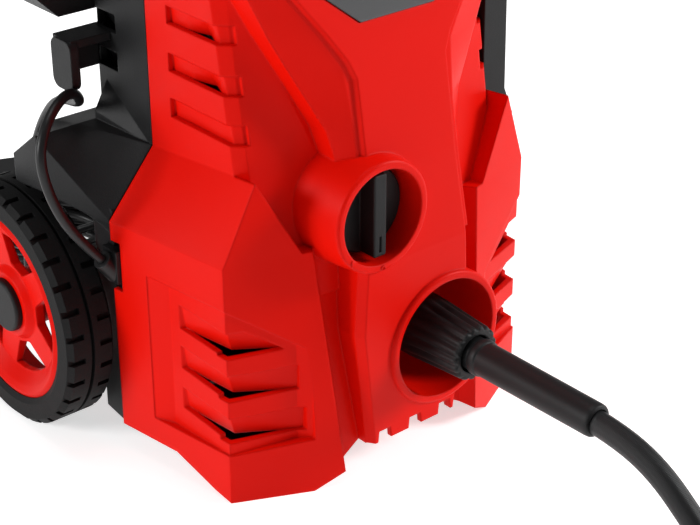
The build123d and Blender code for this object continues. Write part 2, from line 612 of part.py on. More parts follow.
def make_spring_seat():
    """Bridge inside the head that carries the latch spring."""
    seat = block(-76, 76, BUTTON_Y - 9, BUTTON_Y + 9, SPRING_LOW - 3.5, SPRING_LOW) & prism_xy(
        [(68, -20), (68, 40), (-68, 40), (-68, -20)], 200, 400)
    for x in (-TUBE_X, TUBE_X):
        seat -= rod((x, TUBE_Y, 200), (0, 0, 1), 200, TUBE_R + 3)
    return seat - rod((0, BUTTON_Y, 200), (0, 0, 1), 200, 4)


def make_gun_holster():
    """Cup behind the left corner of the rear shell that the trigger gun stands in."""
    outer = slab([(-68, 46, 214), (-97, 46, 214), (-97, 76, 214), (-68, 70, 214)],
                 [(-68, 45, 238), (-121, 45, 238), (-121, 92, 238), (-68, 92, 238)],
                 [(-68, 45, 290), (-123, 45, 290), (-123, 94, 290), (-68, 94, 290)])
    inner = slab([(-76, 52, 221), (-93, 50, 221), (-93, 73, 221), (-76, 68, 221)],
                 [(-74, 52, 240), (-117, 49, 240), (-117, 88, 240), (-74, 88, 240)],
                 [(-74, 52, 292), (-119, 49, 292), (-119, 90, 292), (-74, 90, 292)])
    return (outer - inner) - both_sides(rear_half(-0.1))


def make_lance_clip():
    """Open C-shaped clip that holds the lance below the holster."""
    plate = prism_yz([(28, CLIP_LOW_Z), (45, CLIP_LOW_Z), (45, CLIP_HIGH_Z), (28, CLIP_HIGH_Z)], CLIP_X,
                     CLIP_X + 4.8)
    plate = fillet(plate.edges().filter_by(Axis.X), 5)
    arm = block(CLIP_X + 2, -70, 30, 45, CLIP_HIGH_Z - 4, CLIP_HIGH_Z)
    back = block(CLIP_X + 2, -66, 42.5, 45.8, CLIP_LOW_Z + 5, CLIP_HIGH_Z)
    return plate + arm + back - both_sides(rear_half(-0.1))


def make_lance_pocket():
    """Tapered pocket on the right side that the spray lance is pushed into."""
    bulge = POCKET_X + 7
    outer = slab([(84, -60, 129), (bulge - 1, -60, 129), (bulge - 1, -30, 129), (84, -30, 129)],
                 [(84, -62, 146), (bulge, -62, 146), (bulge, -28, 146), (84, -28, 146)],
                 [(79.1, -62, 161), (POCKET_X + 0.5, -62, 161), (POCKET_X + 0.5, -28, 161), (79.1, -28, 161)],
                 [(79.1, -60, 268), (POCKET_X, -60, 268), (POCKET_X, -28, 268), (79.1, -28, 268)])
    inner = slab([(88, -58, 146), (bulge - 4, -58, 146), (bulge - 4, -32, 146), (88, -32, 146)],
                 [(82.5, -58, 163), (POCKET_X - 3, -58, 163), (POCKET_X - 3, -32, 163), (82.5, -32, 163)],
                 [(82.5, -56, 270), (POCKET_X - 3, -56, 270), (POCKET_X - 3, -32, 270), (82.5, -32, 270)])
    return outer - inner - both_sides(front_half(-0.15))


def make_cord_hook():
    """Turning hook at the back for the coiled lead."""
    pin = rod((0, 41, HOOK_Z), (0, 1, 0), 15, HOOK_PIN_R)
    pin += rod((0, 41, HOOK_Z), (0, 1, 0), 3, HOOK_PIN_R + 2)
    disc = rod((0, REAR_DEPTH + 0.4, HOOK_Z), (0, 1, 0), 5, 15)
    side = [(51, -8), (51, 8), (74, 8), (74, 30), (80, 30), (80, -2), (74, -8)]
    arm = prism_yz([(y, HOOK_Z + z) for y, z in side], -11, 11)
    return pin + disc + arm


def lower_hook():
    """Fixed hook moulded on the back for the lower end of the coiled lead."""
    arm = prism_yz([(-1, 0), (-1, 18), (30, 18), (30, -16), (24, -16), (24, 12), (6, 12), (4, 0)], -16, 16)
    return Pos(0, REAR_DEPTH, 184) * arm


# ---------------------------------------------------------------- running gear
def make_rim(side):
    """Dished five-spoke wheel: outer band, dished disc with five windows, and hub."""
    x_out = TRACK_HALF
    inner_x = x_out - WHEEL_WIDTH

    bore, band = AXLE_R + AXLE_CLEAR, RIM_R - 5
    profile = [(bore, inner_x + 1), (15, inner_x + 1), (15, x_out - 13), (RIM_R - 9, x_out - 11),
               (band, x_out - 5), (band, inner_x + 4), (RIM_R, inner_x + 4), (RIM_R, x_out - 2),
               (RIM_R - 2.5, x_out - 0.6), (RIM_R - 6, x_out - 2.6), (RIM_R - 12, x_out - 7.5),
               (20, x_out - 7.5), (17, x_out - 4), (bore, x_out - 4)]
    face = face_of([(x, AXLE_BACK + r, WHEEL_R) for r, x in profile])
    rim = revolve(face, axis=Axis((0, AXLE_BACK, WHEEL_R), (1, 0, 0)))
    for k in range(5):
        rim -= turned(rim_window(), (0, AXLE_BACK, WHEEL_R), (1, 0, 0), 72 * k + 17)
    return rim if side > 0 else mirror(rim, about=Plane.YZ)


def rim_window():
    """One teardrop window, wide near the band and narrow near the hub."""
    half = radians(25)
    outer, inner = RIM_R - 12.5, 22.0
    points = [(outer * sin(a), outer * cos(a)) for a in (-half, -half / 2, 0, half / 2, half)]
    outline = points + [(inner * sin(a), inner * cos(a)) for a in (radians(14), radians(-14))]
    face = face_of([(90, AXLE_BACK + y, WHEEL_R + z) for y, z in outline])
    window = extrude(face, amount=60, dir=(1, 0, 0))
    return fillet(window.edges().filter_by(Axis.X).group_by(Axis.Z)[0], 2.5)


def make_tyre(side):
    x_out, x_in = TRACK_HALF, TRACK_HALF - WHEEL_WIDTH
    profile = [(x_in + 1.5, RIM_R + 0.02), (x_in, RIM_R + 3), (x_in, WHEEL_R - 3), (x_in + 2.5, WHEEL_R),
               (x_out - 2.5, WHEEL_R), (x_out, WHEEL_R - 3), (x_out, RIM_R + 3), (x_out - 1.5, RIM_R + 0.02)]
    face = face_of([(x, AXLE_BACK + r, WHEEL_R) for x, r in profile])
    tyre = revolve(face, axis=Axis((0, AXLE_BACK, WHEEL_R), (1, 0, 0)))
    cuts = None
    for k in range(TREAD_BLOCKS):
        for left, right, step in ((x_out - 9, x_out + 1, k), (x_in - 1, x_in + 9, k + 0.5)):
            groove = block(left, right, AXLE_BACK - 1.6, AXLE_BACK + 1.6, 2 * WHEEL_R - TREAD_DEPTH,
                           2 * WHEEL_R + 1)
            groove = turned(groove, (0, AXLE_BACK, WHEEL_R), (1, 0, 0), 360 / TREAD_BLOCKS * step)
            cuts = groove if cuts is None else cuts + groove
    tyre -= cuts
    tyre -= ring((x_out - WHEEL_WIDTH / 2 - 1, AXLE_BACK, WHEEL_R), (1, 0, 0), 2, WHEEL_R + 1,
                 WHEEL_R - TREAD_DEPTH)
    return tyre if side > 0 else mirror(tyre, about=Plane.YZ)


def make_hub_cap(side):
    x = TRACK_HALF - 4
    cap = rod((x, AXLE_BACK, WHEEL_R), (1, 0, 0), 3.6, 14)
    cap = fillet(cap.edges().group_by(Axis.X)[-1], 1.6)
    cap -= rod((x - 1, AXLE_BACK, WHEEL_R), (1, 0, 0), 2.6, 11)
    return cap if side > 0 else mirror(cap, about=Plane.YZ)


def make_axle():
    half = TRACK_HALF - 4.3
    return rod((-half, AXLE_BACK, WHEEL_R), (1, 0, 0), 2 * half, AXLE_R)


# ---------------------------------------------------------------- switch
def make_knob():
    """Round switch knob with a grip bar that points at the marks."""
    front_y = KNOB_FLOOR_Y - 0.3
    disc = rod((KNOB_X, front_y, KNOB_Z), (0, -1, 0), 5, KNOB_R)
    disc = fillet(disc.edges().group_by(Axis.Y)[0], 1.2)
    bar = Pos(KNOB_X, front_y - 9.5, KNOB_Z) * Box(7.6, 11, 2 * KNOB_R - 1.6)
    bar = fillet(bar.edges().filter_by(Axis.Y), 1.2)
    bar = fillet(bar.edges().group_by(Axis.Y)[0], 0.8)
    low = KNOB_Z - KNOB_R
    slot = block(KNOB_X - 0.7, KNOB_X + 0.7, front_y - 16, front_y - 14, low + 3, low + 11)
    stem = rod((KNOB_X, front_y, KNOB_Z), (0, 1, 0), 15, KNOB_SHAFT_R)
    return disc + bar - slot + stem


def make_switch():
    body = block(KNOB_X - 15, KNOB_X + 15, SWITCH_Y, SWITCH_Y + 17, KNOB_Z - 14, KNOB_Z + 14)
    body = fillet(body.edges().filter_by(Axis.Y), 2)
    body -= rod((KNOB_X, SWITCH_Y - 1, KNOB_Z), (0, 1, 0), 14, KNOB_SHAFT_R + 0.08)
    for step in (-9, -3, 3, 9):
        x = KNOB_X + step
        body += block(x - 0.4, x + 0.4, SWITCH_Y + 17, SWITCH_Y + 20, KNOB_Z + 7, KNOB_Z + 12)
    return body


# ---------------------------------------------------------------- motor


def upright(z, height, r_out, r_in=0.0, y=0.0, x=0.0):
    if r_in:
        return ring((x, y, z), (0, 0, 1), height, r_out, r_in)
    return rod((x, y, z), (0, 0, 1), height, r_out)


def make_stator():
    body = upright(STATOR_LOW_Z, STATOR_HEIGHT, STATOR_R, 27.5)
    for angle in (0, 180):
        window = Pos(0, 34, STATOR_LOW_Z + STATOR_HEIGHT / 2) * Box(30, 9, STATOR_HEIGHT + 2)
        body -= turned(window, (0, 0, 0), (0, 0, 1), angle)
    return body


def make_windings():
    coils = None
    for angle in (0, 180):
        coil = Pos(0, 34, STATOR_LOW_Z + STATOR_HEIGHT / 2) * Box(29, 8, STATOR_HEIGHT + 16)
        coil = fillet(coil.edges().filter_by(Axis.Y), 5)
        coil = turned(coil, (0, 0, 0), (0, 0, 1), angle)
        coils = coil if coils is None else coils + coil
    return coils


def make_armature_shaft():
    return upright(GEAR_Z - 8, UPPER_BEARING_Z + 17 - GEAR_Z, SHAFT_R)


def make_armature_core():
    core = upright(STATOR_LOW_Z, STATOR_HEIGHT, 26.8, SHAFT_R)
    for k in range(12):
        slot = Pos(0, 25, STATOR_LOW_Z + STATOR_HEIGHT / 2) * Box(2.2, 9, STATOR_HEIGHT + 2)
        core -= turned(slot, (0, 0, 0), (0, 0, 1), 30 * k)
    return core


def make_commutator():
    body = upright(240, 14, 13, SHAFT_R)
    for k in range(24):
        slot = Pos(0, 12.6, 247) * Box(0.6, 1.6, 12)
        body -= turned(slot, (0, 0, 0), (0, 0, 1), 15 * k)
    return body


def make_fan():
    """Cooling fan on the motor's shaft, under the armature."""
    fan = upright(168, 2, 38, SHAFT_R) + upright(168, 12, 10, SHAFT_R)
    for k in range(9):
        blade = Pos(0, 24, 173) * (Rot(0, 0, 22) * Box(1.6, 26, 7.6))
        fan += turned(blade, (0, 0, 0), (0, 0, 1), 40 * k)
    return fan


def make_brushes():
    pair = None
    for angle in (90, -90):
        holder = Pos(0, 22.5, 247) * Box(11, 18, 12)
        holder = turned(holder, (0, 0, 0), (0, 0, 1), angle)
        pair = holder if pair is None else pair + holder
    return pair


def make_top_shield():
    """Upper end shield, with the bearing seat and four legs to the stator."""
    shield = upright(UPPER_BEARING_Z - 5, 12, 15, BEARING_R) + upright(UPPER_BEARING_Z + 4, 3, 15, 7)
    for k in range(4):
        z = UPPER_BEARING_Z
        leg = slab(*[[(-4, y, low), (4, y, low), (4, y, high), (-4, y, high)]
                     for y, low, high in ((12, z - 4, z + 6), (40, z - 10, z - 3))])
        foot = block(-4, 4, 39, 43, STATOR_LOW_Z + STATOR_HEIGHT, UPPER_BEARING_Z - 3)
        shield += turned(leg + foot, (0, 0, 0), (0, 0, 1), 45 + 90 * k)
    return shield


def make_bearing(z):
    body = upright(z - 3.5, 7, BEARING_R, SHAFT_R + BEARING_CLEAR)
    return body - upright(z + 2.9, 2, 9.4, 6.6) - upright(z - 4.9, 2, 9.4, 6.6)


# ---------------------------------------------------------------- gears and pump
def gear_solid(teeth, width, z, centre, bore, turn):
    """A spur gear with straight-flanked teeth on its pitch circle."""
    pitch_r = GEAR_MODULE * teeth / 2
    root, tip = pitch_r - 1.25 * GEAR_MODULE, pitch_r + 0.9 * GEAR_MODULE
    x, y = centre
    body = upright(z - width / 2, width, root + 0.02, x=x, y=y)
    half = pi / teeth
    tooth = prism_xy([(-(root + 0.1) * half * 0.66, root - 0.3), ((root + 0.1) * half * 0.66, root - 0.3),
                      (pitch_r * half * 0.44, pitch_r), (tip * half * 0.18, tip), (-tip * half * 0.18, tip),
                      (-pitch_r * half * 0.44, pitch_r)], z - width / 2, z + width / 2)
    teeth_all = [Pos(x, y, 0) * (Rot(0, 0, turn + 360 / teeth * k) * tooth) for k in range(teeth)]
    body = body + teeth_all
    return body - upright(z - width / 2 - 1, width + 2, bore, x=x, y=y)


def make_pinion():
    return gear_solid(PINION_TEETH, GEAR_WIDTH, GEAR_Z, (0, 0), SHAFT_R, PUMP_ANGLE - 90)


def make_driven_gear():
    return gear_solid(GEAR_TEETH, GEAR_WIDTH - 2, GEAR_Z, (PUMP_X, PUMP_Y), PUMP_SHAFT_R,
                      PUMP_ANGLE + 90 + 180 / GEAR_TEETH)


def pump_round(z, height, r):
    return upright(z, height, r, x=PUMP_X, y=PUMP_Y)


def make_swash_shaft():
    """Pump shaft with the tilted plate that drives the pistons."""
    shaft = pump_round(104, 44, PUMP_SHAFT_R)
    plate = pump_round(SWASH_Z - 6, 12, SWASH_R)
    lean = radians(SWASH_ANGLE)
    tilt = Plane(origin=(PUMP_X, PUMP_Y, SWASH_FACE_Z), z_dir=(sin(lean), 0, cos(lean)))
    return shaft + (plate - extrude(tilt * Circle(60), amount=-40))


def make_gear_case():
    """Cast plate between the motor and the pump, with the motor's lower bearing seat."""
    case = prism_xy([(-30, 36), (30, 36), (36, 24), (58, 18), (72, 12), (72, -44), (20, -58), (-20, -44),
                     (-50, -30), (-72, -22), (-72, 12), (-58, 18), (-36, 24)], 158, CASE_TOP_Z)
    case += upright(146.4, 12, 15)
    case -= upright(140, 30, BEARING_R)
    case += upright(144.4, 2, 15, 7)
    for x, y in ((-28, 32), (28, 32)):
        case += upright(160, STATOR_LOW_Z - 160, 4, x=x, y=y)
    for angle in LEG_ANGLES:
        x, y = leg_place(angle)
        case += upright(PUMP_LOW + 10, 158 - PUMP_LOW - 10, 3.5, x=x, y=y)
    return case


def leg_place(angle):
    return PUMP_X + LEG_RING_R * cos(radians(angle)), PUMP_Y + LEG_RING_R * sin(radians(angle))


def make_pump_body():
    """Aluminium pump body round the swash plate and the piston guides."""
    body = pump_round(PUMP_LOW, PUMP_HIGH - PUMP_LOW, 34) - pump_round(98, 40, 29)
    for k in range(3):
        x, y = piston_place(k)
        body -= upright(60, 60, PISTON_R + 0.08, x=x, y=y)
    for angle in LEG_ANGLES:
        x, y = leg_place(angle)
        body += upright(PUMP_LOW, 10, 6.5, x=x, y=y)
    return body


def piston_place(k):
    angle = radians(90 + 120 * k)
    return PUMP_X + PISTON_RING_R * cos(angle), PUMP_Y + PISTON_RING_R * sin(angle)


def make_pistons():
    group = []
    for k in range(3):
        x, y = piston_place(k)
        group.append(upright(56, PISTON_TOP_Z - 56, PISTON_R, x=x, y=y))
    return Compound(group)


def make_piston_springs():
    group = []
    for k in range(3):
        x, y = piston_place(k)
        path = Helix(pitch=3.2, height=9.6, radius=PISTON_R + 1.4, center=(x, y, 99))
        wire = sweep(Plane(origin=path @ 0, z_dir=path % 0) * Circle(0.8), path=path)
        group.append(wire.solids()[0])
    return Compound(group)


def make_pump_head():
    """Forged head with the cylinders, the outlet bore and the inlet bore."""
    head = block(PUMP_X - 34, PUMP_X + 34, PUMP_Y - HEAD_HALF, PUMP_Y + HEAD_HALF, HEAD_LOW, HEAD_HIGH)
    head = chamfer(head.edges().filter_by(Axis.Z), 6)
    for k in range(3):
        x, y = piston_place(k)
        head -= upright(50, 40, PISTON_R + 0.08, x=x, y=y)
    head -= rod((OUTLET_X, PUMP_Y - HEAD_HALF - 1, OUTLET_Z), (0, 1, 0), 16, 4)
    head -= rod((INLET_X, PUMP_Y + HEAD_HALF + 1, INLET_Z), (0, -1, 0), 12, 5)
    return head


def make_outlet_connector():
    """Brass high-pressure outlet, with the thread that the hose's nut screws onto."""
    start_y = PUMP_Y - HEAD_HALF
    tube = rod((OUTLET_X, start_y, OUTLET_Z), (0, -1, 0), abs(-84.5 - start_y), CONNECTOR_R - 0.6)
    for k in range(6):
        tube += rod((OUTLET_X, -74 - 1.75 * k, OUTLET_Z), (0, -1, 0), 0.9, CONNECTOR_R)
    return tube - rod((OUTLET_X, start_y - 1, OUTLET_Z), (0, -1, 0), 60, 4)


def make_inlet_connector():
    """Water inlet spigot at the back."""
    start = PUMP_Y + HEAD_HALF
    tube = rod((INLET_X, start, INLET_Z), (0, 1, 0), INLET_END_Y - start, INLET_R)
    tube += rod((INLET_X, AXLE_BOX_DEPTH + 2, INLET_Z), (0, 1, 0), 3, INLET_R + 5)
    return tube - rod((INLET_X, start - 1, INLET_Z), (0, 1, 0), 130, INLET_R - 2.5)


def make_inlet_filter():
    """Fine strainer that sits in the inlet's mouth."""
    start = INLET_END_Y - 15
    cup = rod((INLET_X, start, INLET_Z), (0, 1, 0), 12, INLET_R - 2.8)
    return cup - rod((INLET_X, start + 1, INLET_Z), (0, 1, 0), 12, INLET_R - 3.8)


def make_valve_plugs():
    """Three brass plugs that close the valve pockets under the head."""
    group = []
    for k in range(3):
        x, y = piston_place(k)
        plug = upright(HEAD_LOW - 6, 6, 8, x=x, y=y)
        hexagon = extrude(Plane(origin=(x, y, HEAD_LOW - 10)) * RegularPolygon(6.5, 6), amount=4)
        group.append(plug + hexagon)
    return Compound(group)


def make_unloader():
    """Bypass valve on the side of the pump head."""
    x, y = PUMP_X + 34, PUMP_Y + 8
    body = rod((x, y, 56), (1, 0, 0), 20, 8) + rod((x + 20, y, 56), (1, 0, 0), 9, 5)
    return body + rod((x + 4, y, 56), (1, 0, 0), 5, 10)


def make_capacitor():
    can = rod((58, -22, 186), (0, 0, 1), 52, 11)
    return fillet(can.edges().group_by(Axis.Z)[-1], 1.5)


def make_motor_mounts():
    """Rubber blocks that hold the motor clear of the shells."""
    group = []
    for x in (-1, 1):
        for y in (-14, 8):
            group.append(block(x * 60 - 12, x * 60 + 12, y, y + 9, CASE_TOP_Z, CASE_TOP_Z + 8))
    return Compound(group)


def make_base_plate():
    """Tray that closes the bottom and carries the pump."""
    plate = prism_xy([(-84, -66), (84, -66), (90, -8), (-90, -8)], 17, 20)
    plate += prism_xy([(-84, 8), (84, 8), (58, 45), (-58, 45)], 17, 20) + block(-40, 40, -10, 10, 17, 20)
    for x in (PUMP_X - 29.5, PUMP_X + 29.5):
        plate += block(x - 4, x + 4, PUMP_Y - 8, PUMP_Y + 8, 19, HEAD_LOW - 0.02)
    for x in (-70, 70):
        plate += rod((x, -30, 17), (0, 0, 1), 14, 6)
        plate -= rod((x, -30, 16), (0, 0, 1), 12, 2)
    return plate


def make_case_screws():
    """Screws that hold the rear shell to the front shell, driven from the back."""
    group = []
    for x, z in ((-48, 296), (48, 296), (-30, 200), (30, 200), (-48, 100), (48, 100), (-48, 34), (48, 34)):
        y = REAR_DEPTH if z > 165 else AXLE_BOX_DEPTH
        head = rod((x, y + 0.02, z), (0, 1, 0), 2.2, 4.2)
        head -= rod((x, y + 1.2, z), (0, 1, 0), 2, 1.8)
        group.append(head)
    return Compound(group)


# ---------------------------------------------------------------- hose


def make_hose_nut():
    """Hand-tight swivel nut: ribbed, tapering forward, open at the front."""
    axis_point = (OUTLET_X, NUT_REAR_Y, OUTLET_Z)
    nut = rod(axis_point, (0, -1, 0), 24, NUT_R)
    taper_y = NUT_REAR_Y - 24
    nut += rod((OUTLET_X, taper_y, OUTLET_Z), (0, -1, 0), taper_y - NUT_FRONT_Y, NUT_R - 0.4,
               NUT_R - NUT_TAPER)
    nut -= rod(axis_point, (0, -1, 0), 20, CONNECTOR_R + 0.06)
    nut -= rod((OUTLET_X, NUT_REAR_Y, OUTLET_Z), (0, -1, 0), 90, STEM_R + 0.06)
    nut -= rod((OUTLET_X, SLEEVE_START_Y + 0.4, OUTLET_Z), (0, -1, 0), 30, SLEEVE_R + 0.9)
    for k in range(NUT_RIBS):
        groove = block(OUTLET_X - 1.1, OUTLET_X + 1.1, NUT_FRONT_Y - 1, taper_y - 2, OUTLET_Z + NUT_R - 2.6,
                       OUTLET_Z + NUT_R + 2)
        nut -= turned(groove, (OUTLET_X, 0, OUTLET_Z), (0, 1, 0), 360 / NUT_RIBS * k)
    return nut


def make_hose_stem():
    """Crimped steel stem in the nut that the hose is pressed on."""
    stem = rod((OUTLET_X, -86.0, OUTLET_Z), (0, -1, 0), abs(SLEEVE_START_Y + 86.0), STEM_R)
    return stem - rod((OUTLET_X, -80, OUTLET_Z), (0, -1, 0), 80, 2.5)


def make_hose_sleeve():
    """Bend guard: a short neck, a shoulder and a long sleeve round the hose's first stretch."""
    shoulder_y = NUT_FRONT_Y - 2.5
    neck = rod((OUTLET_X, SLEEVE_START_Y, OUTLET_Z), (0, -1, 0), SLEEVE_START_Y - shoulder_y, SLEEVE_R)
    shoulder = rod((OUTLET_X, shoulder_y, OUTLET_Z), (0, -1, 0), 4.5, SLEEVE_R + 0.8)
    length = shoulder_y - 4.5 - SLEEVE_END_Y
    sleeve = rod((OUTLET_X, shoulder_y - 4.5, OUTLET_Z), (0, -1, 0), length, SLEEVE_R, SLEEVE_R - 0.3)
    guard = neck + shoulder + sleeve
    return guard - rod((OUTLET_X, HOSE_START_Y, OUTLET_Z), (0, -1, 0), 30, HOSE_D / 2)


def tube_along(route, diameter, name):
    """A tube on straight runs joined by arcs, each as large as its two runs allow."""
    points = [Vector(*p) for p in route]
    radii = []
    for a, b, c in zip(points, points[1:], points[2:]):
        turn = radians((b - a).get_angle(c - b))
        radii.append(0.45 * min((b - a).length, (c - b).length) / tan(turn / 2))
    path = FilletPolyline(*points, radius=radii)
    print(name, "arc radii:", [round(r) for r in radii], "length:", round(path.length))
    tube = sweep(Plane(origin=points[0], z_dir=points[1] - points[0]) * Circle(diameter / 2), path=path)
    expected = pi * diameter ** 2 / 4 * path.length
    print(name, "volume share:", round(tube.volume / expected, 3))
    return tube


def coil_ring(at, across, wide, high, low):
    """The closed outer shape of a round coil that lies on the floor."""
    coil = upright(low, high - low, across / 2 + wide / 2, across / 2 - wide / 2, x=at[0], y=at[1])
    return fillet(coil.edges().group_by(Axis.Z)[-1], high * 0.25)


def make_hose_coil():
    return coil_ring(HOSE_COIL_AT, HOSE_COIL_D, HOSE_COIL_WIDE, HOSE_COIL_HIGH, 0.0)


def make_lead_coil():
    return coil_ring(LEAD_COIL_AT, LEAD_COIL_D, LEAD_COIL_WIDE, LEAD_COIL_HIGH, 0.0)


def make_hose_end():
    """Quick-fit spigot on the hose's free end, lying on the coil."""
    x, y = HOSE_COIL_AT
    z = HOSE_COIL_HIGH + 9.2
    y -= HOSE_COIL_D / 2
    body = rod((x + 30, y, z), (-1, 0, 0), 20, 9) + rod((x + 10, y, z), (-1, 0, 0), 22, 7)
    return body + rod((x - 12, y, z), (-1, 0, 0), 8, 5)


def make_gland():
    """Square plate and slanting collar where the mains lead leaves the housing."""
    first, second = Vector(*LEAD_ROUTE[0]), Vector(*LEAD_ROUTE[1])
    out = (second - first).normalized()
    plate = block(-107.2, -95, -6, 5.6, GLAND_Z - 8.6, GLAND_Z + 8.6)
    collar = rod(tuple(first - out * 9), tuple(out), 12, 5.6, 4.6)
    return plate + collar - rod(tuple(first), tuple(out), 20, LEAD_D / 2)


def make_plug():
    """Mains plug lying on the lead's coil."""
    x, y = LEAD_COIL_AT
    z = LEAD_COIL_HIGH + 10
    y += LEAD_COIL_D / 2
    body = rod((x + 26, y, z), (-1, 0, 0), 30, 8, 17) + rod((x - 4, y, z), (-1, 0, 0), 10, 17)
    body = body & block(x - 40, x + 40, y - 30, y + 30, z - 9.9, z + 9.9)
    for dy in (-9.5, 9.5):
        body += rod((x - 14, y + dy, z), (-1, 0, 0), 19, 2.4)
    return body


# ---------------------------------------------------------------- write every piece
def main():
    os.makedirs("parts", exist_ok=True)
    save("front_shell", make_front_shell())
    save("rear_shell", make_rear_shell())
    save("badge_plate", badge_slice(0, 0.6, 1.15))
    save("top_cover", make_top_cover())
    save("base_plate", make_base_plate())
    save("guide_tubes", make_guide_tubes())
    save("handle_tubes", make_handle_tubes())
    save("handle_grip", make_handle_grip())
    save("latch_button", make_latch_button())
    save("latch_spring", make_latch_spring())
    save("spring_seat", make_spring_seat())
    save("gun_holster", make_gun_holster())
    save("lance_clip", make_lance_clip())
    save("lance_pocket", make_lance_pocket())
    save("cord_hook", make_cord_hook())
    save("axle", make_axle())
    for name, side in SIDES.items():
        save(f"wheel_rim_{name}", make_rim(side))
        save(f"tyre_{name}", make_tyre(side))
        save(f"hub_cap_{name}", make_hub_cap(side))
    save("switch_knob", make_knob())
    save("power_switch", make_switch())
    save("stator_core", make_stator())
    save("stator_windings", make_windings())
    save("motor_shaft", make_armature_shaft())
    save("armature_core", make_armature_core())
    save("commutator", make_commutator())
    save("cooling_fan", make_fan())
    save("brush_holders", make_brushes())
    save("top_end_shield", make_top_shield())
    save("upper_bearing", make_bearing(UPPER_BEARING_Z))
    save("lower_bearing", make_bearing(LOWER_BEARING_Z))
    save("motor_pinion", make_pinion())
    save("driven_gear", make_driven_gear())
    save("swash_shaft", make_swash_shaft())
    save("gear_case", make_gear_case())
    save("pump_body", make_pump_body())
    save("pistons", make_pistons())
    save("piston_springs", make_piston_springs())
    save("pump_head", make_pump_head())
    save("valve_plugs", make_valve_plugs())
    save("unloader_valve", make_unloader())
    save("outlet_connector", make_outlet_connector())
    save("inlet_connector", make_inlet_connector())
    save("inlet_filter", make_inlet_filter())
    save("capacitor", make_capacitor())
    save("motor_mounts", make_motor_mounts())
    save("case_screws", make_case_screws())
    save("hose_nut", make_hose_nut())
    save("hose_stem", make_hose_stem())
    save("hose_sleeve", make_hose_sleeve())
    save("hose_tube", tube_along(HOSE_ROUTE, HOSE_D, "hose"))
    save("hose_coil", make_hose_coil())
    save("hose_end_fitting", make_hose_end())
    save("lead_gland", make_gland())
    save("lead_tube", tube_along(LEAD_ROUTE, LEAD_D, "lead"))
    save("lead_coil", make_lead_coil())
    save("mains_plug", make_plug())


main()
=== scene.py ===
"""A compact pressure washer: moulded housing, wheels, hose and mains lead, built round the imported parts."""
import json
from math import atan2, cos, pi, radians, sin

import bmesh
import bpy
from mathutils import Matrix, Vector


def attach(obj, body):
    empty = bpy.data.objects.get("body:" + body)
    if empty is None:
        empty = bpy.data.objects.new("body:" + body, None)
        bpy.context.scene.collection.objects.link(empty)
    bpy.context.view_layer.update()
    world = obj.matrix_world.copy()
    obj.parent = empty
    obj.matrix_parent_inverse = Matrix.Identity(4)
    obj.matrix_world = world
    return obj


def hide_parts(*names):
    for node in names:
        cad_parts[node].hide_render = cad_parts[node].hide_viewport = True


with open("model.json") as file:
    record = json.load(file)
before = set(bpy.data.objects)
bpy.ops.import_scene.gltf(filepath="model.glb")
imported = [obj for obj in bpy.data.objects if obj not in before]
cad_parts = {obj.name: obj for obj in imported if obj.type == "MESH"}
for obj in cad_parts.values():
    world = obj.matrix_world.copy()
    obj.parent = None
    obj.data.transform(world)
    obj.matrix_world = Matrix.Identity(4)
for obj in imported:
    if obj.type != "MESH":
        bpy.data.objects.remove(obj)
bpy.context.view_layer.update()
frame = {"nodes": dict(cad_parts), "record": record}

MM = 0.001
SEAM_Y = -0.012          # the line between the two shells
HOSE_D = 0.012
LEAD_D = 0.005
OUTLET_X, OUTLET_Z = 18.5, 61.6      # middle of the hose recess, about the seam, in millimetres
SPUN_STEPS = 64
FULL_CIRCLE = 360


# ---------------------------------------------------------------- shader maths
class Wire:
    """A socket that can be used in sums; each sum adds its Math node."""

    def __init__(self, paint, socket):
        self.paint, self.socket = paint, socket

    def math(self, operation, *others):
        return self.paint.node("ShaderNodeMath", {"operation": operation}, {}, [self, *others])

    def __add__(self, other):
        return self.math("ADD", other)

    def __sub__(self, other):
        return self.math("SUBTRACT", other)

    def __mul__(self, other):
        return self.math("MULTIPLY", other)

    def __rsub__(self, other):
        return self.math("MULTIPLY", -1.0) + other

    __radd__ = __add__
    __rmul__ = __mul__


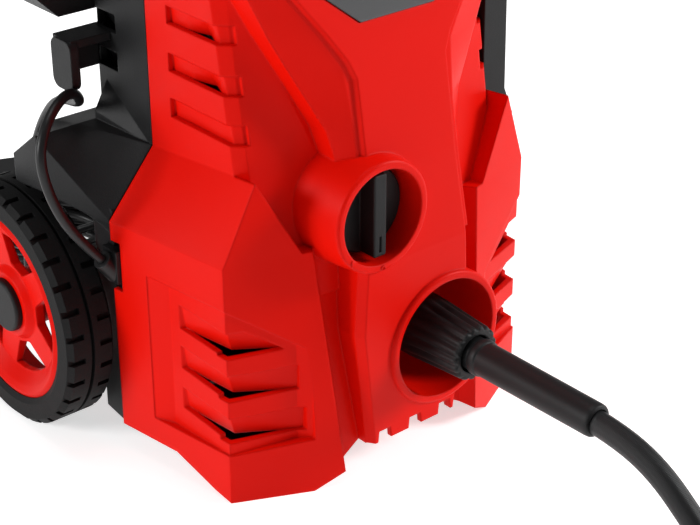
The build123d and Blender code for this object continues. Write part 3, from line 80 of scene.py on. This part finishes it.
class Paint:
    """One material under construction."""

    def __init__(self, name):
        self.material = bpy.data.materials.new(name)
        self.material.use_nodes = True
        self.tree = self.material.node_tree
        self.tree.nodes.clear()
        output = self.tree.nodes.new("ShaderNodeOutputMaterial")
        self.shader = self.tree.nodes.new("ShaderNodeBsdfPrincipled")
        self.tree.links.new(self.shader.outputs[0], output.inputs["Surface"])
        self.place = self.node("ShaderNodeTexCoord", {}, {}, out="Object")

    def feed(self, socket, value):
        if isinstance(value, Wire):
            self.tree.links.new(value.socket, socket)
        else:
            socket.default_value = value

    def node(self, kind, settings=None, values=None, ordered=(), out=0):
        made = self.tree.nodes.new(kind)
        for key, value in (settings or {}).items():
            setattr(made, key, value)
        for key, value in (values or {}).items():
            self.feed(made.inputs[key], value)
        for k, value in enumerate(ordered):
            self.feed(made.inputs[k], value)
        return Wire(self, made.outputs[out])

    def noise(self, scale, detail=2.0, roughness=0.5, at=None):
        values = {"Vector": at or self.place, "Scale": scale, "Detail": detail, "Roughness": roughness}
        return self.node("ShaderNodeTexNoise", {}, values, out="Fac")

    def between(self, value, low, high, to_low=0.0, to_high=1.0):
        settings = {"clamp": True}
        values = {"Value": value, "From Min": low, "From Max": high, "To Min": to_low, "To Max": to_high}
        return self.node("ShaderNodeMapRange", settings, values, out="Result")

    def blend(self, share, first, second):
        made = self.tree.nodes.new("ShaderNodeMix")
        made.data_type = "RGBA"
        self.feed(made.inputs["Factor"], share)
        self.feed(made.inputs[6], first)
        self.feed(made.inputs[7], second)
        return Wire(self, made.outputs[2])

    def bump(self, height, depth, strength=1.0, under=None):
        values = {"Height": height, "Distance": depth, "Strength": strength}
        if under:
            values["Normal"] = under
        return self.node("ShaderNodeBump", {}, values, out="Normal")

    def set(self, **values):
        for key, value in values.items():
            self.feed(self.shader.inputs[key.replace("_", " ")], value)


def rgb(r, g, b):
    return (r, g, b, 1.0)


# ---------------------------------------------------------------- materials
def moulded(name, colour, shade, rough, grain, depth, gloss=0.5, edge=0.0011):
    """Injection-moulded plastic: fine grain, faint flow marks, soft edges and a little handling wear."""
    paint = Paint(name)
    flow = paint.noise(9.0, 3.0)
    dust = paint.noise(60.0, 4.0, 0.6)
    paint.set(Base_Color=paint.blend(paint.between(flow, 0.3, 0.7), rgb(*colour), rgb(*shade)))
    paint.set(Roughness=rough + (dust - 0.5) * 0.12, Specular_IOR_Level=gloss)
    fine = paint.noise(grain, 2.0, 0.6)
    rounded = paint.node("ShaderNodeBevel", {"samples": 6}, {"Radius": edge}, out="Normal")
    paint.set(Normal=paint.bump(fine, depth, under=rounded))
    return paint.material


def red_plastic():
    return moulded("red_plastic", (0.70, 0.0045, 0.0006), (0.66, 0.004, 0.0006), 0.4, 1500.0, 0.00007, 0.07,
                   0.0016)


def black_plastic():
    return moulded("black_plastic", (0.0055, 0.0055, 0.006), (0.009, 0.009, 0.0095), 0.5, 1500.0, 0.00012,
                   0.22)


def badge_grey():
    return moulded("badge_grey", (0.042, 0.042, 0.044), (0.05, 0.05, 0.052), 0.3, 1800.0, 0.00003)


def nylon():
    return moulded("nylon", (0.72, 0.71, 0.66), (0.68, 0.67, 0.62), 0.4, 1200.0, 0.00004)


def tyre_rubber():
    """Solid rubber with a dusty, greyer bloom."""
    paint = Paint("tyre_rubber")
    bloom = paint.between(paint.noise(35.0, 5.0, 0.65), 0.35, 0.7)
    paint.set(Base_Color=paint.blend(bloom, rgb(0.004, 0.004, 0.0043), rgb(0.009, 0.0088, 0.009)))
    paint.set(Roughness=0.62 + bloom * 0.12, Specular_IOR_Level=0.16)
    paint.set(Normal=paint.bump(paint.noise(900.0, 3.0, 0.7), 0.00015))
    return paint.material


def braided_rubber():
    """The hose's skin: a fine crossed braid that shows through the rubber."""
    paint = Paint("hose_rubber")
    split = paint.tree.nodes.new("ShaderNodeSeparateXYZ")
    paint.tree.links.new(paint.node("ShaderNodeTexCoord", {}, {}, out="UV").socket, split.inputs[0])
    along, around = Wire(paint, split.outputs[0]), Wire(paint, split.outputs[1])
    turns, strands = 5200.0, 34.0
    first = (along * turns + around * strands) * (2 * pi)
    second = (along * turns - around * strands) * (2 * pi)
    weave = first.math("SINE") * second.math("SINE")
    strand = paint.between(weave, -1.0, 1.0)
    paint.set(Base_Color=paint.blend(strand, rgb(0.006, 0.006, 0.0065), rgb(0.011, 0.011, 0.012)))
    paint.set(Roughness=0.42, Specular_IOR_Level=0.28)
    paint.set(Normal=paint.bump(weave, 0.00005))
    return paint.material


def lead_pvc():
    return moulded("lead_pvc", (0.006, 0.006, 0.0065), (0.009, 0.009, 0.0095), 0.38, 600.0, 0.00003, 0.3,
                   0.0006)


def soft_rubber():
    return moulded("soft_rubber", (0.005, 0.005, 0.0055), (0.008, 0.008, 0.0085), 0.5, 1300.0, 0.00006, 0.24,
                   0.0008)


def metal(name, colour, shade, rough, grain, depth, stretch=(1.0, 1.0, 1.0)):
    """Machined or cast metal; stretch draws the grain out along an axis."""
    paint = Paint(name)
    at = paint.node("ShaderNodeMapping", {}, {"Vector": paint.place, "Scale": stretch})
    streaks = paint.noise(grain, 3.0, 0.6, at)
    paint.set(Base_Color=paint.blend(paint.between(streaks, 0.3, 0.7), rgb(*colour), rgb(*shade)))
    paint.set(Metallic=1.0, Roughness=rough + (streaks - 0.5) * 0.18)
    paint.set(Normal=paint.bump(streaks, depth))
    return paint.material


MATERIALS = {
    "red_plastic": red_plastic(),
    "black_plastic": black_plastic(),
    "badge_grey": badge_grey(),
    "nylon": nylon(),
    "tyre_rubber": tyre_rubber(),
    "hose_rubber": braided_rubber(),
    "lead_pvc": lead_pvc(),
    "soft_rubber": soft_rubber(),
    "steel_tube": metal("steel_tube", (0.62, 0.63, 0.65), (0.5, 0.51, 0.53), 0.28, 500.0, 0.00002,
                        (1, 1, 0.02)),
    "steel": metal("steel", (0.56, 0.57, 0.59), (0.46, 0.47, 0.49), 0.3, 700.0, 0.00002),
    "spring_steel": metal("spring_steel", (0.5, 0.5, 0.52), (0.42, 0.42, 0.44), 0.3, 500.0, 0.00002),
    "lamination": metal("lamination", (0.3, 0.3, 0.32), (0.22, 0.22, 0.24), 0.45, 900.0, 0.00008,
                        (0.02, 0.02, 1)),
    "copper": metal("copper", (0.72, 0.3, 0.14), (0.6, 0.22, 0.1), 0.35, 900.0, 0.0001, (1, 1, 0.05)),
    "brass": metal("brass", (0.78, 0.56, 0.24), (0.68, 0.47, 0.19), 0.3, 400.0, 0.00003),
    "cast_alloy": metal("cast_alloy", (0.6, 0.6, 0.61), (0.5, 0.5, 0.51), 0.5, 700.0, 0.00015),
}
SLOT_OF = {entry["node"]: entry["material_slot"] for entry in frame["record"]["subparts"]}
for node, slot in SLOT_OF.items():
    data = frame["nodes"][node].data
    data.materials.clear()
    data.materials.append(MATERIALS[slot])


# ---------------------------------------------------------------- mesh helpers
def piece_from(bm, name, slot, body, smooth=35.0):
    """Makes a finished mesh a piece of the object."""
    mesh = bpy.data.meshes.new(name)
    bm.to_mesh(mesh)
    bm.free()
    mesh.materials.append(MATERIALS[slot])
    mesh.shade_smooth()
    mesh.set_sharp_from_angle(angle=radians(smooth))
    piece = bpy.data.objects.new(name, mesh)
    bpy.context.scene.collection.objects.link(piece)
    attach(piece, body)
    return piece


def moved(points):
    """Points about the seam, in millimetres, as points of the row in metres."""
    return [Vector((x * MM, y * MM + SEAM_Y, z * MM)) for x, y, z in points]


def spun(profile, centre, direction, steps=SPUN_STEPS):
    """A closed turned mesh from (distance along the axis, radius) corners, in millimetres."""
    bm = bmesh.new()
    axis = Vector(direction).normalized()
    side = axis.orthogonal().normalized()
    start = moved([centre])[0]
    verts = [bm.verts.new(start + axis * along * MM + side * r * MM) for along, r in profile]
    edges = [bm.edges.new(pair) for pair in zip(verts, verts[1:] + verts[:1])]
    bmesh.ops.spin(bm, geom=verts + edges, cent=start, axis=axis, angle=2 * pi, steps=steps, use_merge=True)
    bmesh.ops.remove_doubles(bm, verts=bm.verts, dist=1e-6)
    bmesh.ops.recalc_face_normals(bm, faces=bm.faces)
    return bm


def share(value, low, high):
    """How far a value is from low to high, eased at both ends."""
    k = min(1.0, max(0.0, (value - low) / (high - low)))
    return k * k * (3 - 2 * k)


# ---------------------------------------------------------------- hose fittings
TO_FRONT = (0, -1, 0)
NUT_REAR_Y, SLEEVE_REAR_Y = -72.5, -106
NUT_FLUTES, FLUTE_DEPTH = 17, 1.35


def make_hose_nut():
    """Hand nut: smooth and round behind, drawn in to a fluted, scalloped front."""
    profile = [(0, 11.2), (0, 15.4), (0.5, 16.3), (1.6, 16.7), (8, 16.7), (16, 16.6), (20, 16.4), (24, 16.2),
               (28, 15.9), (32, 15.6), (36, 15.3), (40, 15.0), (44, 14.75), (48, 14.5), (50, 14.3),
               (51, 13.9), (51.5, 13.2), (51.5, 10.4), (51, 9.7), (34, 9.7), (33.6, 6.2), (20, 6.2),
               (20, 11.2)]
    rear = (OUTLET_X, NUT_REAR_Y, OUTLET_Z)
    bm = spun(profile, rear, TO_FRONT, NUT_FLUTES * 10)
    centre = moved([rear])[0]
    for vert in bm.verts:
        away = vert.co - centre
        along, radius = -away.y / MM, (away.x ** 2 + away.z ** 2) ** 0.5
        wave = 0.5 + 0.5 * cos(NUT_FLUTES * atan2(away.z, away.x))
        sink = FLUTE_DEPTH * wave ** 1.6 * share(along, 13, 30) * share(radius / MM, 10.5, 13.0)
        scale = 1 - sink * MM / radius
        vert.co.x, vert.co.z = centre.x + away.x * scale, centre.z + away.z * scale
    nut = piece_from(bm, "fluted_hose_nut", "black_plastic", "nut", 30.0)
    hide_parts("hose_nut")
    return nut


def make_hose_sleeve():
    """Bend guard with a rounded shoulder ring and a rolled mouth round the hose."""
    profile = [(0, 6.15), (0, 8.4), (0.4, 8.6), (20, 8.6), (20.4, 9.1), (21, 9.4), (24, 9.4), (24.6, 9.1),
               (25, 8.65), (40, 8.6), (60, 8.5), (80, 8.4), (94, 8.35), (95.8, 8.2), (96.7, 7.7), (97, 6.9),
               (97, 6.1), (84, 6.1), (84, 6.15)]
    bm = spun(profile, (OUTLET_X, SLEEVE_REAR_Y, OUTLET_Z), TO_FRONT)
    sleeve = piece_from(bm, "bend_guard", "soft_rubber", "housing", 40.0)
    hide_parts("hose_sleeve")
    return sleeve


# ---------------------------------------------------------------- cords
HOSE_ROUTE = [(18.5, -190, 61.6), (18.5, -214, 61.2), (18.5, -240, 54), (18.5, -264, 36), (18.5, -290, 16),
              (19.5, -318, 6.6), (25.5, -340, 6.1)]
LEAD_ROUTE = [(-109.5, 0, 106), (-124, 0, 123), (-135, 1, 145), (-138.7, 3.3, 167.6), (-130.1, 8.5, 181.5),
              (-116, 17, 187.5), (-103.5, 26, 184), (-95.5, 34.5, 174.5), (-91, 47, 169), (-88, 62, 165.5),
              (-86, 78, 157), (-84.5, 93, 141), (-83.5, 105, 121), (-83, 114, 98), (-83, 120, 75),
              (-82.5, 124, 53), (-80.5, 128.5, 31), (-77, 134.5, 13.5), (-69, 141, 4.6), (-54, 144.3, 2.6)]
HOSE_COIL_AT = (-53.5, -380.0)
LEAD_COIL_AT = (-22.0, 197.0)
HOSE_END = [(-10, -450.6, 49.2), (-20, -452, 49.2), (-30, -452, 49.2)]
LEAD_END = [(5, 240.4, 38), (0, 241, 38), (-6, 241, 38)]
LEAST_CLIMB = 70         # degrees of coil over which a cord's end rises


def coil(at, start, way, outer, inner, pitch, low, step=15):
    """Turns of a round coil: each layer winds in or out, and the next lies on it."""
    points = []
    angle, inward = start, True
    for layer, z in enumerate(low):
        turns = (outer - inner) / pitch
        count = int(turns * FULL_CIRCLE / step)
        for k in range(count + 1):
            part = k / count
            r = outer + (inner - outer) * part if inward else inner + (outer - inner) * part
            a = radians(angle + way * step * k)
            points.append((at[0] + r * cos(a), at[1] + r * sin(a), z))
        angle += way * step * count
        if layer < len(low) - 1:
            for rise in (1, 2, 3):
                r = inner if inward else outer
                a = radians(angle + way * step * rise)
                up = (low[layer + 1] - z) * rise / 4
                points.append((at[0] + r * cos(a), at[1] + r * sin(a), z + up))
            angle += way * step * 4
        inward = not inward
    return points, angle


def cord_curve(name, points, diameter, slot, body):
    """A round cord along one smooth line."""
    curve = bpy.data.curves.new(name, "CURVE")
    curve.dimensions = "3D"
    curve.bevel_depth = diameter / 2
    curve.bevel_resolution = 5
    curve.resolution_u = 6
    curve.use_fill_caps = True
    spline = curve.splines.new("NURBS")
    spline.points.add(len(points) - 1)
    for point, place in zip(spline.points, moved(points)):
        point.co = (*place, 1.0)
    spline.order_u = 3
    spline.use_endpoint_u = True
    curve.materials.append(MATERIALS[slot])
    piece = bpy.data.objects.new(name, curve)
    bpy.context.scene.collection.objects.link(piece)
    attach(piece, body)
    return piece


def rising_end(at, angle, way, target, radii, heights, steps=9):
    """The last stretch of a coil, which climbs over the turns towards its fitting."""
    stop = target
    while (stop - angle) * way < LEAST_CLIMB:
        stop += way * FULL_CIRCLE
    points = []
    for k in range(1, steps + 1):
        part = k / steps
        a = radians(angle + (stop - angle) * part)
        r = radii[0] + (radii[1] - radii[0]) * share(part, 0, 1)
        z = heights[0] + (heights[1] - heights[0]) * share(part, 0, 0.8)
        points.append((at[0] + r * cos(a), at[1] + r * sin(a), z))
    return points


def make_hose():
    """High-pressure hose: out of the bend guard, down to the floor and into its coil."""
    turns, angle = coil(HOSE_COIL_AT, 14, -1, 92.0, 52.0, 12.3, (6.1, 19.4, 32.7))
    end = rising_end(HOSE_COIL_AT, angle, -1, 300, (52, 73), (32.7, 49.2))
    points = HOSE_ROUTE + turns + end + HOSE_END
    hose = cord_curve("pressure_hose", points, HOSE_D, "hose_rubber", "housing")
    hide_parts("hose_tube", "hose_coil")
    return hose


def make_lead():
    """Mains lead: a loop above the gland, over the shoulder, down behind and into its coil."""
    turns, angle = coil(LEAD_COIL_AT, 255, 1, 56.0, 32.0, 7.2, (2.6, 7.8, 13.0, 18.2, 23.4))
    end = rising_end(LEAD_COIL_AT, angle, 1, 50, (32, 46), (23.4, 38.0))
    points = LEAD_ROUTE + turns + end + LEAD_END
    lead = cord_curve("mains_lead", points, LEAD_D, "lead_pvc", "housing")
    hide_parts("lead_tube", "lead_coil")
    return lead


nut = make_hose_nut()
sleeve = make_hose_sleeve()
hose = make_hose()
lead = make_lead()
moved([HOSE_ROUTE[0]])[0]
moved([LEAD_ROUTE[0]])[0]


# ---------------------------------------------------------------- stage
FLOOR_HALF = 6.0
BACKDROP_LIGHT, BACKDROP_SEEN = 0.22, 1.0
LENS = 88.78
CAMERA_AT = (-0.4962, -0.6422, 0.4901)
AZIMUTH, ELEVATION = radians(40.626), radians(27.745)


def area_light(name, place, target, size, power):
    """A round white lamp that faces its target."""
    data = bpy.data.lights.new(name, "AREA")
    data.shape, data.size, data.energy = "DISK", size, power
    light = bpy.data.objects.new(name, data)
    light.location = place
    light.rotation_euler = (Vector(target) - Vector(place)).to_track_quat("-Z", "Y").to_euler()
    bpy.context.scene.collection.objects.link(light)


def make_world():
    """Plain white studio, brighter as a backdrop than as a light."""
    world = bpy.data.worlds.new("studio")
    world.use_nodes = True
    nodes, links = world.node_tree.nodes, world.node_tree.links
    background = nodes["Background"]
    background.inputs[0].default_value = rgb(1, 1, 1)
    path, strength = nodes.new("ShaderNodeLightPath"), nodes.new("ShaderNodeMapRange")
    strength.inputs["To Min"].default_value = BACKDROP_LIGHT
    strength.inputs["To Max"].default_value = BACKDROP_SEEN
    links.new(path.outputs["Is Camera Ray"], strength.inputs["Value"])
    links.new(strength.outputs["Result"], background.inputs[1])
    bpy.context.scene.world = world


def make_stage():
    """Pale floor, white world and three soft lamps."""
    bm = bmesh.new()
    bmesh.ops.create_grid(bm, x_segments=1, y_segments=1, size=FLOOR_HALF)
    mesh = bpy.data.meshes.new("floor")
    bm.to_mesh(mesh)
    bm.free()
    paint = Paint("pale_floor")
    paint.set(Base_Color=rgb(0.9, 0.9, 0.9), Roughness=0.8)
    paint.set(Emission_Color=rgb(1, 1, 1), Emission_Strength=0.6)
    mesh.materials.append(paint.material)
    floor = bpy.data.objects.new("floor", mesh)
    bpy.context.scene.collection.objects.link(floor)
    make_world()
    area_light("front", (1.95, -1.3, 1.1), (0, -0.05, 0.12), 0.7, 54)
    area_light("side", (-2.0, 0.5, 0.9), (0, 0, 0.12), 0.7, 28)
    area_light("top", (0.1, 0.1, 2.2), (0, 0, 0.12), 1.0, 10)
    bpy.context.scene.view_settings.view_transform = "Standard"


def make_camera():
    """Camera at the fitted place, with no shift."""
    data = bpy.data.cameras.new("camera")
    data.sensor_fit, data.sensor_width = "HORIZONTAL", 36.0
    data.lens = LENS
    data.clip_start = 0.01
    camera = bpy.data.objects.new("camera", data)
    camera.location = CAMERA_AT
    level = cos(ELEVATION)
    forward = Vector((sin(AZIMUTH) * level, cos(AZIMUTH) * level, -sin(ELEVATION)))
    camera.rotation_euler = forward.to_track_quat("-Z", "Y").to_euler()
    bpy.context.scene.collection.objects.link(camera)
    bpy.context.scene.camera = camera


make_stage()
make_camera()
